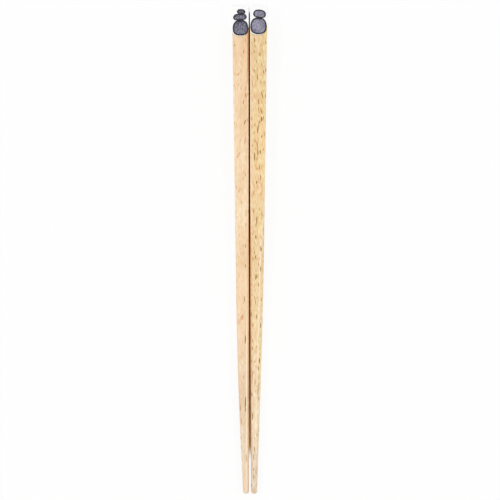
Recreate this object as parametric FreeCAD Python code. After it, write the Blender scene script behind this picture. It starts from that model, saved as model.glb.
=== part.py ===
import FreeCAD, Part
import math
import os

# A pair of wooden chopsticks, lying side by side on a table with their tips towards -Y.
#
# Each stick is one piece of beech. It is square at the butt and tapers gently over its upper half,
# then curves into a faster taper that ends in a small rounded tip. Its long edges are only just
# eased near the butt, open out into wide soft bevels half way down, and are almost round at the
# tip. The butt is coated in white lacquer, flush with the wood, and a stack of grey stones is
# printed over the upper face of that coat.
#
# The frame, in millimetres: X across the pair, Y along it with the butts at +Y, Z up. The origin is
# under the middle of the pair, on the table. "Down" a stick is the distance from its butt towards
# its tip. "left" and "right" are as seen from above with the butts away from the viewer.

# Both sticks are this long, and both end in the same small square.
LENGTH = 225.0
TIP_SIZE = 2.7

# The tapers, for the width of each stick, which differ a little, and for the height that they
# share: the size at the butt and at the bend, and how far down the bend is. The bend is where the
# gentle taper and the faster one would meet, and the curve between them is this long.
BUTT_SIZE = {"left": 7.7, "right": 8.06, "height": 7.85}
BEND_SIZE = {"left": 5.38, "right": 5.95, "height": 5.65}
BEND_DOWN = {"left": 168.0, "right": 142.0, "height": 155.0}
BEND_CURVE = 70.0

# The end edges: around the butt, and around the tip.
BUTT_ROUNDING = 0.35
TIP_ROUNDING = 1.1
LARGEST_PIN_SHARE = 0.95

# The long edges: their radius in the upper part, where they start and stop opening out, and how
# much of the stick's width one corner takes there and at the tip. On the left stick the share grows
# slowly at first, as a power of the distance. A corner bulges by this share of what a quarter circle
# does: all of it at the butt and at the tip, and least where the corners stop opening out.
EDGE_RADIUS = 0.5
CORNERS_OPEN_DOWN = 85.0
CORNERS_WIDE_DOWN = 122.0
WIDE_CORNER_SHARE = {"left": 0.17, "right": 0.28}
CORNER_SHARE_POWER = {"left": 2.0, "right": 1.0}
TIP_CORNER_SHARE = 0.48
WIDE_CORNER_BULGE_SHARE = 0.35
LARGEST_CORNER_SHARE = 0.49

# The pair: how far each inner flank is from the middle of the pair at the butt, how much that grows
# for each millimetre down, as the sticks don't lie quite true, and how much of the curve and the
# faster taper comes off the inner flank and off the underside. The outer flank and the upper face
# lose the rest.
INNER_FLANK = {"left": 0.45, "right": 0.09}
INNER_FLANK_SLOPE = {"left": -0.0004, "right": 0.001}
INNER_FLANK_SHARE = {"left": 0.0, "right": 0.18}
UNDERSIDE_SHARE = 0.5
OUTWARD = {"left": -1.0, "right": 1.0}

# The white lacquer: its thickness, and how far down its straight edge is on the plain faces.
LACQUER = 0.08
LACQUER_DOWN = {"left": 10.4, "right": 9.5}

# The printed stones of each stack, the lowest first. Each is placed and sized on the upper face:
# across from its middle, down from the butt, and tilted by degrees. The lowest are as wide as the
# face, less a margin at each flank.
INK = 0.05
INK_FROM_FLANK = 0.08
LOWEST_STONE = {
    "left": {"down": 10.5, "half_height": 3.75, "tilt": 0.0},
    "right": {"down": 9.6, "half_height": 4.0, "tilt": 0.0},
}
UPPER_STONES = {
    "left": [
        {"across": -0.25, "down": 5.55, "half_width": 3.2, "half_height": 1.7, "tilt": 4.0},
        {"across": 0.35, "down": 3.05, "half_width": 2.0, "half_height": 1.15, "tilt": -5.0},
    ],
    "right": [
        {"across": 0.45, "down": 4.1, "half_width": 3.0, "half_height": 2.0, "tilt": -7.0},
    ],
}
STONE_GAP = 0.1
STONE_EGG = 0.07
STONE_SQUARENESS = 0.03
STONE_POINTS = 16

# The white ground under the lowest stone is printed a little off register.
GROUND_SHIFT_ACROSS = -0.3
GROUND_SHIFT_DOWN = 0.3

# How finely the opening corners and the curved lower part are divided into sections, and how far
# the cutting blocks reach past what they cut.
OPENING_SECTIONS = 5
LOWER_SECTIONS = 11
CUT_MARGIN = 5.0


def along(down):
    """The Y of a point this far down a stick."""
    return LENGTH / 2 - down


def curve_start():
    """How far down the first of the curves begins, and the straight part ends."""
    return min(BEND_DOWN.values()) - BEND_CURVE / 2


def upper_slope(which):
    """How fast a size falls along the gentle taper."""
    return (BUTT_SIZE[which] - BEND_SIZE[which]) / BEND_DOWN[which]


def extra_taper(which, down):
    """What a size loses beyond the gentle taper: nothing, then a parabola, then a straight line."""
    lower_slope = (BEND_SIZE[which] - TIP_SIZE) / (LENGTH - BEND_DOWN[which])
    past_start = max(down - (BEND_DOWN[which] - BEND_CURVE / 2), 0.0)
    in_curve = min(past_start, BEND_CURVE)
    past_curve = max(past_start - BEND_CURVE, 0.0)
    return (lower_slope - upper_slope(which)) * (in_curve**2 / (2 * BEND_CURVE) + past_curve)


def size(which, down):
    """The width of the left or the right stick, or the height of both, this far down."""
    return BUTT_SIZE[which] - upper_slope(which) * down - extra_taper(which, down)


def opening(down):
    """How far the corners have opened, a smooth step from 0 to 1."""
    span = CORNERS_WIDE_DOWN - CORNERS_OPEN_DOWN
    t = min(max(down - CORNERS_OPEN_DOWN, 0.0) / span, 1.0)
    return t * t * (3 - 2 * t)


def past_opening(down):
    """How far a point is from where the corners stop opening, 0, to the tip, 1."""
    return max(down - CORNERS_WIDE_DOWN, 0.0) / (LENGTH - CORNERS_WIDE_DOWN)


def corner_size(side, down):
    """What one corner takes of each face: even, then opening, then a growing share of the width."""
    wide = WIDE_CORNER_SHARE[side]
    share = wide + (TIP_CORNER_SHARE - wide) * past_opening(down) ** CORNER_SHARE_POWER[side]
    narrower = min(size(side, down), size("height", down))
    target = narrower * min(share, LARGEST_CORNER_SHARE)
    return EDGE_RADIUS + (target - EDGE_RADIUS) * opening(down)


def corner_bulge_share(down):
    """A corner's share of a quarter circle's bulge, least where the corners stop opening."""
    flattening = opening(down) * (1 - past_opening(down) ** 2)
    return 1 - (1 - WIDE_CORNER_BULGE_SHARE) * flattening


def centre_across(side, down):
    """The X of a stick's middle, beside its inner flank."""
    inner_flank = INNER_FLANK[side] + INNER_FLANK_SLOPE[side] * down
    inner_flank += INNER_FLANK_SHARE[side] * extra_taper(side, down)
    return OUTWARD[side] * (inner_flank + size(side, down) / 2)


def centre_height(down):
    """The Z of a stick's middle, over an underside that lies on the table until the curve."""
    return UNDERSIDE_SHARE * extra_taper("height", down) + size("height", down) / 2


def section(side, down, growth):
    """A rectangle with arcs for corners, across the stick, grown outwards evenly."""
    reach, next_reach = size("height", down) / 2 + growth, size(side, down) / 2 + growth
    corner = corner_size(side, down) + growth
    bulge = corner * (0.5 + (math.sqrt(0.5) - 0.5) * corner_bulge_share(down))
    edges = []
    for quarter in range(4):
        flat, next_flat = next_reach - corner, reach - corner
        corners = [(-flat, -reach), (flat, -reach), (flat + bulge, -next_flat - bulge)]
        points = []
        for u, v in corners + [(next_reach, -next_flat)]:
            for _ in range(quarter):
                u, v = -v, u
            x, z = centre_across(side, down) + u, centre_height(down) + v
            points.append(FreeCAD.Vector(x, along(down), z))
        start, end, middle, corner_end = points
        edges.append(Part.LineSegment(start, end).toShape())
        edges.append(Part.Arc(end, middle, corner_end).toShape())
        reach, next_reach = next_reach, reach
    return Part.Wire(edges)


def flat_sided(sections):
    """A solid through sections, with true planes between their straight edges."""
    faces = [Part.Face(sections[0]), Part.Face(sections[-1])]
    for upper, lower in zip(sections, sections[1:]):
        for first, second in zip(upper.Edges, lower.Edges):
            if isinstance(first.Curve, Part.Line):
                a, b = [vertex.Point for vertex in first.Vertexes]
                d, c = [vertex.Point for vertex in second.Vertexes]
                faces.append(Part.Face(Part.makePolygon([a, b, c, d, a])))
            else:
                faces.append(Part.makeRuledSurface(first, second))
    return Part.Solid(Part.Shell(faces)).removeSplitter()


def upper_bar(side, end_down, growth=0.0):
    """The flat-sided upper bar, from a butt with rounded edges to this far down, grown evenly."""
    step = (curve_start() - CORNERS_OPEN_DOWN) / OPENING_SECTIONS
    opening = [CORNERS_OPEN_DOWN + step * i for i in range(OPENING_SECTIONS)]
    downs = [0.0] + [d for d in opening if d < end_down] + [end_down]
    sections = [section(side, d, growth) for d in downs]
    sections[0].translate(FreeCAD.Vector(0, growth, 0))
    bar = flat_sided(sections)
    butt_edges = [e for e in bar.Edges if e.BoundBox.YMin > along(0) + growth - 1e-6]
    rounding = min(BUTT_ROUNDING, EDGE_RADIUS) + growth
    return bar.makeFillet(rounding, butt_edges)


def tip_waste(side):
    """What rounding takes off the tip: a block around it, less a pin with a rounded end."""
    down = LENGTH - TIP_ROUNDING
    corner = corner_size(side, down)
    reach = (size(side, down) / 2 - corner) * math.sqrt(2) + corner
    centre = FreeCAD.Vector(centre_across(side, LENGTH), along(LENGTH), centre_height(LENGTH))
    pin = Part.makeCylinder(reach, 2 * TIP_ROUNDING, centre, FreeCAD.Vector(0, 1, 0))
    pin_end = [e for e in pin.Edges if e.BoundBox.YMax < along(LENGTH) + 1e-6]
    pin = pin.makeFillet(min(TIP_ROUNDING, LARGEST_PIN_SHARE * reach), pin_end)
    block = Part.makeBox(2 * CUT_MARGIN, CUT_MARGIN + TIP_ROUNDING, 2 * CUT_MARGIN)
    block.translate(centre - FreeCAD.Vector(CUT_MARGIN, CUT_MARGIN, CUT_MARGIN))
    return block.cut(pin)


def lower_bar(side):
    """The curved lower bar, one smooth surface through its sections, with its tip rounded."""
    step = (LENGTH - curve_start()) / (LOWER_SECTIONS - 1)
    downs = [curve_start() + step * i for i in range(LOWER_SECTIONS)]
    bar = Part.makeLoft([section(side, d, 0.0) for d in downs], True, False)
    return bar.cut(tip_waste(side))


def stone_list(side):
    """The stones of a stack, the lowest first, which is as wide as the upper face."""
    lowest = dict(LOWEST_STONE[side], across=0.0)
    lowest["half_width"] = size(side, lowest["down"]) / 2 - INK_FROM_FLANK
    return [lowest] + UPPER_STONES[side]


def stone_prism(side, stone, growth=0.0, shift_across=0.0, shift_down=0.0):
    """An upright prism through the upper face and its eased edges, in a stone's outline.

    The outline is an ellipse that is fuller below its middle and a little squarer than true.
    """
    tilt = math.radians(stone["tilt"])
    middle = centre_across(side, stone["down"]) + stone["across"] + shift_across
    foot = size("height", stone["down"]) - EDGE_RADIUS
    points = []
    for i in range(STONE_POINTS):
        angle = 2 * math.pi * i / STONE_POINTS
        swell = 1 - STONE_SQUARENESS * math.cos(4 * angle)
        fuller = 1 - STONE_EGG * math.sin(angle)
        u = (stone["half_width"] + growth) * math.cos(angle) * swell * fuller
        v = (stone["half_height"] + growth) * math.sin(angle) * swell
        across = middle + u * math.cos(tilt) - v * math.sin(tilt)
        up_the_stick = u * math.sin(tilt) + v * math.cos(tilt)
        y = along(stone["down"] + shift_down) + up_the_stick
        points.append(FreeCAD.Vector(across, y, foot))
    outline = Part.BSplineCurve()
    outline.interpolate(Points=points, PeriodicFlag=True)
    face = Part.Face(Part.Wire(outline.toShape()))
    return face.extrude(FreeCAD.Vector(0, 0, BUTT_SIZE["height"]))


def coat_reach(side):
    """How far down a bar has to go to carry the whole coat and print."""
    lowest = LOWEST_STONE[side]
    return lowest["down"] + lowest["half_height"] + GROUND_SHIFT_DOWN + CUT_MARGIN


def white_end(side):
    """The lacquer: an even skin over the butt, and on the upper face down to the stones' ground."""
    skin = upper_bar(side, coat_reach(side)).cut(upper_bar(side, coat_reach(side), -LACQUER))
    wide, high = 2 * BUTT_SIZE[side], 2 * BUTT_SIZE["height"]
    band = Part.makeBox(wide, LACQUER_DOWN[side] + CUT_MARGIN, high)
    corner_x = centre_across(side, 0) - wide / 2
    band.translate(FreeCAD.Vector(corner_x, along(LACQUER_DOWN[side]), -high / 4))
    lowest = stone_list(side)[0]
    ground = stone_prism(side, lowest, 0.0, GROUND_SHIFT_ACROSS, GROUND_SHIFT_DOWN)
    return skin.common(band.fuse(ground)).removeSplitter()


def wooden_stick(side, coat):
    """The whole stick, less the room that its lacquer takes."""
    form = upper_bar(side, curve_start()).fuse(lower_bar(side)).removeSplitter()
    return form.cut(coat)


def stone_print(side):
    """The ink: a thin film in the outline of each stone, each upper one in front of the last."""
    reach = coat_reach(side)
    film = upper_bar(side, reach, INK).cut(upper_bar(side, reach))
    stones = stone_list(side)
    inked = []
    for place, stone in enumerate(stones):
        ink = film.common(stone_prism(side, stone))
        for in_front in stones[place + 1 :]:
            ink = ink.cut(stone_prism(side, in_front, STONE_GAP))
        inked += ink.Solids
    return Part.makeCompound(inked)


def main():
    os.makedirs("parts", exist_ok=True)
    for side in ("left", "right"):
        coat = white_end(side)
        nodes = {
            f"{side}_stick": wooden_stick(side, coat),
            f"{side}_white_end": coat,
            f"{side}_stone_print": stone_print(side),
        }
        for name, shape in nodes.items():
            shape.exportStep(f"parts/{name}.step")
            print(name, len(shape.Solids), "solid(s)", round(shape.Volume, 3), "mm3")


main()
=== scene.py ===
# %% [markdown]
# # A pair of wooden chopsticks
#
# Two beech sticks lie side by side, seen from straight above. The imported solids already have the
# right form, so this lesson dresses them: smooth skins worked out from the same sizes, a beech that
# is a solid pattern in space, white lacquer on the butts and a stack of stones printed over it.
#
# The first cell loads the imported part and keeps its box. Everything made later is made to fit that
# box.

import bpy
import numpy as np
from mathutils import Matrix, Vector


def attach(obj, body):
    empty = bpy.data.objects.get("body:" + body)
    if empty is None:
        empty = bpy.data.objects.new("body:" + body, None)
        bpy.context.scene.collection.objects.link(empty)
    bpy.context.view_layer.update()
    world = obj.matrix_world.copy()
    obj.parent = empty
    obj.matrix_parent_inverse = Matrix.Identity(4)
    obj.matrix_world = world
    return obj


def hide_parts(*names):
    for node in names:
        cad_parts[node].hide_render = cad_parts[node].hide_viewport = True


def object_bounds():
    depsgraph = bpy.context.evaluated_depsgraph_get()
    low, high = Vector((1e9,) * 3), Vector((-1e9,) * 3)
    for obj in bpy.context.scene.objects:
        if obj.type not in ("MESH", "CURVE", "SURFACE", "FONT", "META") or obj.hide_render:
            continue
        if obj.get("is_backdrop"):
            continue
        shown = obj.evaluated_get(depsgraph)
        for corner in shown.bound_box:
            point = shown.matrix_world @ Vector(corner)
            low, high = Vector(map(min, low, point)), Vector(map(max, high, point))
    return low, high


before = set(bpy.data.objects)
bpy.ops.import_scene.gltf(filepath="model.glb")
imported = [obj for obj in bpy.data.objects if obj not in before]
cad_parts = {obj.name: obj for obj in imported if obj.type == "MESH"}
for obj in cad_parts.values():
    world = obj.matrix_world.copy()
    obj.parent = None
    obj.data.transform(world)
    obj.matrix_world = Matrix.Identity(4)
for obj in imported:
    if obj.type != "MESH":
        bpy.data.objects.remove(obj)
cad_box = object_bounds()
print("nodes:", sorted(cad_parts))

# %% [markdown]
# ## Sizes
#
# All sizes are in millimetres, as a maker would write them, and only the last step of each mesh
# turns them into metres. "Down" is the distance from a stick's butt towards its tip. "left" and
# "right" are as seen from above with the butts away from the viewer. The bend is the place where the
# gentle taper turns steeper, and an inner flank is the face that a stick turns to the other one,
# measured from the line where the two meet.

# %% Sizes of the sticks
MM = 0.001
SIDES = ("left", "right")

LENGTH = 225.0
TIP_SIZE = 2.7
BUTT_SIZE = {"left": 7.7, "right": 8.06, "height": 7.85}
BEND_SIZE = {"left": 5.38, "right": 5.95, "height": 5.65}
BEND_DOWN = {"left": 168.0, "right": 142.0, "height": 155.0}
BEND_CURVE = 70.0
BUTT_ROUNDING = 0.35
TIP_ROUNDING = 1.1

EDGE_RADIUS = 0.5
CORNERS_OPEN_DOWN = 85.0
CORNERS_WIDE_DOWN = 122.0
WIDE_CORNER_SHARE = {"left": 0.17, "right": 0.28}
CORNER_SHARE_POWER = {"left": 2.0, "right": 1.0}
TIP_CORNER_SHARE = 0.48
WIDE_CORNER_BULGE_SHARE = 0.35

INNER_FLANK = {"left": 0.45, "right": 0.09}
INNER_FLANK_SLOPE = {"left": -0.0004, "right": 0.001}
INNER_FLANK_SHARE = {"left": 0.0, "right": 0.18}
UNDERSIDE_SHARE = 0.5
OUTWARD = {"left": -1.0, "right": 1.0}
print("the butts are", BUTT_SIZE, "mm")

# %% Sizes of the lacquer and the print
LACQUER = 0.08
LACQUER_DOWN = {"left": 10.4, "right": 9.5}
LACQUER_ROOM = 0.005

INK = 0.05
INK_FROM_FLANK = 0.08
STONE_SIZES = ("across", "down", "half_width", "half_height", "tilt")


def sized_stone(*sizes):
    """One stone's sizes by name. A half width of None is as wide as the face allows."""
    return dict(zip(STONE_SIZES, sizes))


LOWEST_STONE = {
    "left": sized_stone(0.0, 10.5, None, 3.75, 0.0),
    "right": sized_stone(0.0, 9.6, None, 4.0, 0.0),
}
UPPER_STONES = {
    "left": [sized_stone(-0.25, 5.55, 3.2, 1.7, 4.0), sized_stone(0.35, 3.05, 2.0, 1.15, -5.0)],
    "right": [sized_stone(0.45, 4.1, 3.0, 2.0, -7.0)],
}
STONE_GAP = 0.02
STONE_EGG = 0.07
STONE_SQUARENESS = 0.03
GROUND_SHIFT_ACROSS = -0.3
GROUND_SHIFT_DOWN = 0.3
print("stones:", {side: 1 + len(UPPER_STONES[side]) for side in SIDES})

# %% [markdown]
# ## The form of a stick
#
# A stick is a bar whose width, height, corners and place change along its length. Each of those is a
# short function of the distance down, written for whole arrays, so a skin is one call of them over a
# grid. The alternative, modelling a box and bevelling it by hand, could not follow corners that
# open out so gradually.


# %% Sizes, corners and place along a stick
def upper_slope(which):
    """How fast a size falls along the gentle taper."""
    return (BUTT_SIZE[which] - BEND_SIZE[which]) / BEND_DOWN[which]


def extra_taper(which, down):
    """What a size loses beyond the gentle taper: nothing, then a parabola, then a line."""
    lower_slope = (BEND_SIZE[which] - TIP_SIZE) / (LENGTH - BEND_DOWN[which])
    past_start = down - (BEND_DOWN[which] - BEND_CURVE / 2)
    in_curve = np.clip(past_start, 0, BEND_CURVE)
    past_curve = np.clip(past_start - BEND_CURVE, 0, None)
    return (lower_slope - upper_slope(which)) * (in_curve**2 / (2 * BEND_CURVE) + past_curve)


def size(which, down):
    """The width of the left or the right stick, or the height of both, this far down."""
    return BUTT_SIZE[which] - upper_slope(which) * down - extra_taper(which, down)


def opening(down):
    """How far the corners have opened: a smooth step from 0 to 1, t squared times (3 - 2 t)."""
    t = np.clip((down - CORNERS_OPEN_DOWN) / (CORNERS_WIDE_DOWN - CORNERS_OPEN_DOWN), 0, 1)
    return t * t * (3 - 2 * t)


def past_opening(down):
    """How far a point is from where the corners stop opening, 0, to the tip, 1."""
    return np.clip((down - CORNERS_WIDE_DOWN) / (LENGTH - CORNERS_WIDE_DOWN), 0, 1)


def corner_size(side, down):
    """How much of each face one corner takes: even, opening, then a growing share of the width."""
    wide = WIDE_CORNER_SHARE[side]
    share = wide + (TIP_CORNER_SHARE - wide) * past_opening(down) ** CORNER_SHARE_POWER[side]
    narrower = np.minimum(size(side, down), size("height", down))
    return EDGE_RADIUS + (narrower * share - EDGE_RADIUS) * opening(down)


def corner_bulge_share(down):
    """A corner's share of a quarter circle's bulge: 0 is a flat bevel, 1 a quarter circle."""
    return 1 - (1 - WIDE_CORNER_BULGE_SHARE) * opening(down) * (1 - past_opening(down) ** 2)


def centre(side, down):
    """X and Z of a stick's middle, half its size from its inner flank and from its underside.

    The flank stands off by a start, a slope times the distance and a share of the extra taper, and
    the underside rises by its share of the extra taper in height.
    """
    inner_flank = INNER_FLANK[side] + INNER_FLANK_SLOPE[side] * down
    inner_flank = inner_flank + INNER_FLANK_SHARE[side] * extra_taper(side, down)
    across = OUTWARD[side] * (inner_flank + size(side, down) / 2)
    return across, UNDERSIDE_SHARE * extra_taper("height", down) + size("height", down) / 2


for side in SIDES:
    print(side, "width at butt, middle and tip:", size(side, np.array([0, LENGTH / 2, LENGTH])))

# %% [markdown]
# ## One point of the skin
#
# Going round the section, a quarter turn runs from the middle of one face, along half its flat, over
# the corner and along half of the next flat. The corner is an arc whose chord joins the two flats. A
# full arc is a quarter circle, and a flatter one makes a soft bevel with a faint crease at each side,
# which is how these sticks look below the middle. A corner has eight narrow strips of its own between
# the wider ones of the flats, so it looks round, and smooth shading leaves the flats flat.

# %% Columns round the section
FLAT_PART = 0.4
FLAT_STEPS = 14
LAST_FLAT_STEP = 0.9
CORNER_STEPS = np.array([0, 0.1, 0.23, 0.37, 0.5, 0.63, 0.77, 0.9, 1])

flat_steps = np.linspace(0, LAST_FLAT_STEP, FLAT_STEPS) * FLAT_PART
corner_steps = CORNER_STEPS * (1 - 2 * FLAT_PART) + FLAT_PART
quarter_steps = np.concatenate([flat_steps, corner_steps, 1 - flat_steps[:0:-1]])
TURNS = (np.arange(4)[:, None] + quarter_steps[None, :]).ravel()
print("columns round a stick:", len(TURNS))


# %% The skin of a stick
def skin_point(side, down, turn, growth=0.0, shrink=1.0):
    """Points of the skin, in millimetres, for arrays of distance down and of quarter turns.

    With L the corner's size and h its sagitta, its arc has the radius L^2 / (4 h) + h / 2, and a
    point at angle a from its middle is radius * sin(a) along the chord and radius * cos(a) out.
    """
    down, turn, growth, shrink = np.broadcast_arrays(down, turn, growth, shrink)
    quarter = np.floor(turn)
    t = turn - quarter
    half_width = size(side, down) / 2 + growth
    half_height = size("height", down) / 2 + growth
    upright = quarter % 2 == 1
    reach = np.where(upright, half_width, half_height)
    next_reach = np.where(upright, half_height, half_width)
    corner = corner_size(side, down) + growth
    along_first = np.clip(t / FLAT_PART, 0, 1)
    along_second = np.clip((1 - t) / FLAT_PART, 0, 1)
    over = np.clip((t - FLAT_PART) / (1 - 2 * FLAT_PART), 0, 1) * 2 - 1
    sagitta = corner_bulge_share(down) * corner * (np.sqrt(2) - 1) / np.sqrt(2)
    radius = corner**2 / (4 * sagitta) + sagitta / 2
    angle = over * np.arcsin(corner / np.sqrt(2) / radius)
    along_chord = radius * np.sin(angle)
    out = corner / -np.sqrt(2) + radius * np.cos(angle) - (radius - sagitta)
    corner_u = next_reach + (along_chord + out) / np.sqrt(2)
    corner_v = -reach + (along_chord - out) / np.sqrt(2)
    u = np.where(along_second < 1, next_reach, corner_u)
    v = np.where(along_second < 1, -(reach - corner) * along_second, corner_v)
    u = np.where(along_first < 1, (next_reach - corner) * along_first, u)
    v = np.where(along_first < 1, -reach, v)
    turned = quarter * np.pi / 2
    across, height = centre(side, down)
    x = across + shrink * (u * np.cos(turned) - v * np.sin(turned))
    z = height + shrink * (u * np.sin(turned) + v * np.cos(turned))
    return np.stack([x, LENGTH / 2 - down, z], axis=-1)


print("a point half way down, middle of the underside:", skin_point("left", LENGTH / 2, 0.0))

# %% [markdown]
# ## Meshes from grids
#
# Every piece here is a stack of closed rings with a point at each end, so one function makes them
# all. It joins ring to ring with four-sided faces and closes the two ends with fans. The signed
# volume tells whether the faces point outwards, and if it is negative the faces are turned round.


# %% Rings to a closed mesh
def signed_volume(points, triangles):
    """A sixth of the sum, over all triangles, of a . (b x c)."""
    a, b, c = (points[triangles[:, i]] for i in range(3))
    return np.einsum("ij,ij->i", a, np.cross(b, c)).sum() / 6


def in_scene(name, data):
    """A new object with this data, linked to the scene."""
    made = bpy.data.objects.new(name, data)
    bpy.context.scene.collection.objects.link(made)
    return made


def keep_values(piece, name, values):
    """Stores one number for each point of a piece, for its material to read."""
    layer = piece.data.attributes.new(name, "FLOAT", "POINT")
    layer.data.foreach_set("value", values.astype(np.float32))


def closed_mesh(name, rings, first_pole, last_pole):
    """A closed mesh through rings, an array of rows by columns by 3, in millimetres."""
    rows, columns, _ = rings.shape
    points = np.vstack([rings.reshape(-1, 3), first_pole, last_pole]) * MM
    here = np.arange(rows * columns).reshape(rows, columns)
    after = np.roll(here, -1, axis=1)
    quads = np.stack([here[:-1], after[:-1], after[1:], here[1:]], axis=-1).reshape(-1, 4)
    poles = rows * columns + np.arange(2)
    first_fan = np.stack([after[0], here[0], np.full(columns, poles[0])], axis=-1)
    last_fan = np.stack([here[-1], after[-1], np.full(columns, poles[1])], axis=-1)
    triangles = np.vstack([quads[:, :3], quads[:, [0, 2, 3]], first_fan, last_fan])
    faces = quads.tolist() + first_fan.tolist() + last_fan.tolist()
    if signed_volume(points, triangles) < 0:
        faces = [face[::-1] for face in faces]
    mesh = bpy.data.meshes.new(name)
    mesh.from_pydata(points.tolist(), [], faces)
    mesh.shade_smooth()
    volume = abs(signed_volume(points, triangles)) / MM**3
    print(f"{name}: {len(triangles)} triangles, {volume:.1f} cubic mm")
    return in_scene(name, mesh)


def in_place_of(piece, node):
    """Makes a piece ride with the part and stand for its node, whose own mesh is hidden."""
    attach(piece, "root")
    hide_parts(node)
    return piece


# %% [markdown]
# ## Where the white ends
#
# The butts are coated white. On the three plain faces the coat stops at a straight line. On the
# upper face it runs on as the ground of the lowest stone, printed a little off register, so a thin
# white edge shows at the lower left. The wood is let in under the coat and both skins share this
# line, so they meet without a gap.


# %% The outline of a stone and the edge of the coat
GROUND_POINTS = 400


def with_width(side, stone):
    """A stone with its half width filled in: the lowest one is as wide as the face allows."""
    if stone["half_width"] is not None:
        return stone
    return dict(stone, half_width=size(side, stone["down"]) / 2 - INK_FROM_FLANK)


def outline(stone, angle, growth=0.0):
    """Across and up, from a stone's middle: an ellipse, fuller below and a little squarer."""
    swell = 1 - STONE_SQUARENESS * np.cos(4 * angle)
    fuller = 1 - STONE_EGG * np.sin(angle)
    u = (stone["half_width"] + growth) * np.cos(angle) * swell * fuller
    v = (stone["half_height"] + growth) * np.sin(angle) * swell
    tilt = np.radians(stone["tilt"])
    return u * np.cos(tilt) - v * np.sin(tilt), u * np.sin(tilt) + v * np.cos(tilt)


def coat_edge(side):
    """How far down the coat reaches in each column: a straight line, or the ground's outline."""
    stone = with_width(side, LOWEST_STONE[side])
    lower_half = np.linspace(np.pi, 2 * np.pi, GROUND_POINTS)
    across, up = outline(stone, lower_half)
    ground_x = centre(side, stone["down"])[0] + stone["across"] + GROUND_SHIFT_ACROSS + across
    ground_down = stone["down"] + GROUND_SHIFT_DOWN - up
    straight = LACQUER_DOWN[side]
    points = skin_point(side, straight, TURNS)
    lower_line = np.interp(points[:, 0], ground_x, ground_down, left=straight, right=straight)
    foot = size("height", stone["down"]) - EDGE_RADIUS
    on_top = points[:, 2] > foot
    return np.where(on_top, np.maximum(lower_line, straight), straight)


for side in SIDES:
    edge = coat_edge(side)
    print(side, "coat reaches", edge.min(), "to", edge.max(), "mm down")

# %% [markdown]
# ## The wood
#
# The rings start at the butt, under the coat, step out to the full size at the coat's edge, and then
# run down the whole stick to a tip that is rounded over. The rounding of the butt and of the tip are
# quarter circles taken in a few steps.

# %% The butt's rings
BUTT_STEPS = 6
END_FACE_STEPS = 5


def butt_rings(side, inset):
    """Rings over the butt, from its middle to its flanks, let in by this much."""
    quarter = np.linspace(0, np.pi / 2, BUTT_STEPS)[:, None]
    rounding = BUTT_ROUNDING - inset
    down = inset + rounding * (1 - np.sin(quarter))
    over_edge = skin_point(side, down, TURNS, growth=-inset - rounding * (1 - np.cos(quarter)))
    over_edge[..., 1] = LENGTH / 2 - down
    over_edge = over_edge[::-1]
    share = np.linspace(0, 1, END_FACE_STEPS, endpoint=False)[1:, None, None]
    middle = over_edge[0].mean(axis=0)
    end_face = middle + (over_edge[0] - middle) * share
    return np.concatenate([end_face, over_edge]), middle


print("rings over a butt:", len(butt_rings("left", 0.0)[0]))

# %% The tip's rings
TIP_STEPS = 8


def tip_rings(side):
    """Rings over the rounded tip: each shrinks as a quarter circle does, towards the middle."""
    back = TIP_ROUNDING * (1 - np.sin(np.linspace(0, np.pi / 2, TIP_STEPS)))[:, None]
    reach = size(side, LENGTH - TIP_ROUNDING) / 2
    height = np.sqrt(TIP_ROUNDING**2 - (TIP_ROUNDING - back) ** 2)
    shrink = (reach - TIP_ROUNDING + height) / reach
    return skin_point(side, LENGTH - back, TURNS, shrink=shrink)


print("rings over a tip:", len(tip_rings("left")))

# %% [markdown]
# Each point of the wood also keeps two numbers for its material. One is a painted highlight: how far
# the wood is painted paler where glints of light fall. The photograph shows them along two lines: the
# right stick's upper edge beside the slit, plain at the top and weaker further down, and lower down on
# both sticks the crease between the upper face and the bevel on its right. The other is painted
# shade: how far a point is painted a deeper brown, as the flanks in the slit look in their shade, less
# so where their corners open. As bands of columns between two distances, both are exact, which marks
# painted by hand would not be.

# %% Painted highlights and painted shade in the slit
# Where the painted highlights lie (CREASE_ and EDGE_) and the painted shade in the slit (SLIT_ and
# WIDER_).
CREASE_COLUMNS = {"left": (1.55, 1.61), "right": (1.59, 1.65)}
CREASE_DOWN = {"left": 140.0, "right": 104.0}
CREASE_FADE = 12.0
CREASE_END_POWER = 4
EDGE_COLUMNS = {"left": (0.0, 0.0), "right": (2.43, 2.53)}
EDGE_DOWN = 75.0
EDGE_FADE = 24.0
EDGE_BELOW = 0.45
EDGE_LOST = 0.3
SLIT_COLUMNS = {"left": (0.45, 1.52), "right": (2.54, 3.55)}
SLIT_LOST = 0.8
WIDER_COLUMNS = {"left": (0.45, 1.62), "right": (0.0, 0.0)}
WIDER_DOWN = 34.0
WIDER_FADE = 8.0


def within(columns):
    """Which columns of the section lie between two turns: none, if both are 0."""
    return (TURNS > columns[0]) & (TURNS < columns[1])


def risen(down, middle, length):
    """A straight rise from 0 to 1 over a length, half way up at its middle."""
    return np.clip((down - middle) / length + 0.5, 0, 1)


def painted_highlight(side, down):
    """How far the wood is painted paler, as a painted highlight where glints of light fall.

    The crease rises over its fade and falls off with a power of the way to the tip. The edge falls
    from 1 to what is left below, and loses a share as the corners open.
    """
    crease = risen(down, CREASE_DOWN[side], CREASE_FADE)
    crease = crease * (1 - past_opening(down) ** CREASE_END_POWER)
    above = 1 - risen(down, EDGE_DOWN, EDGE_FADE)
    edge = EDGE_BELOW + (1 - EDGE_BELOW) * above - EDGE_LOST * opening(down)
    return np.maximum(within(CREASE_COLUMNS[side]) * crease, within(EDGE_COLUMNS[side]) * edge)


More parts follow.
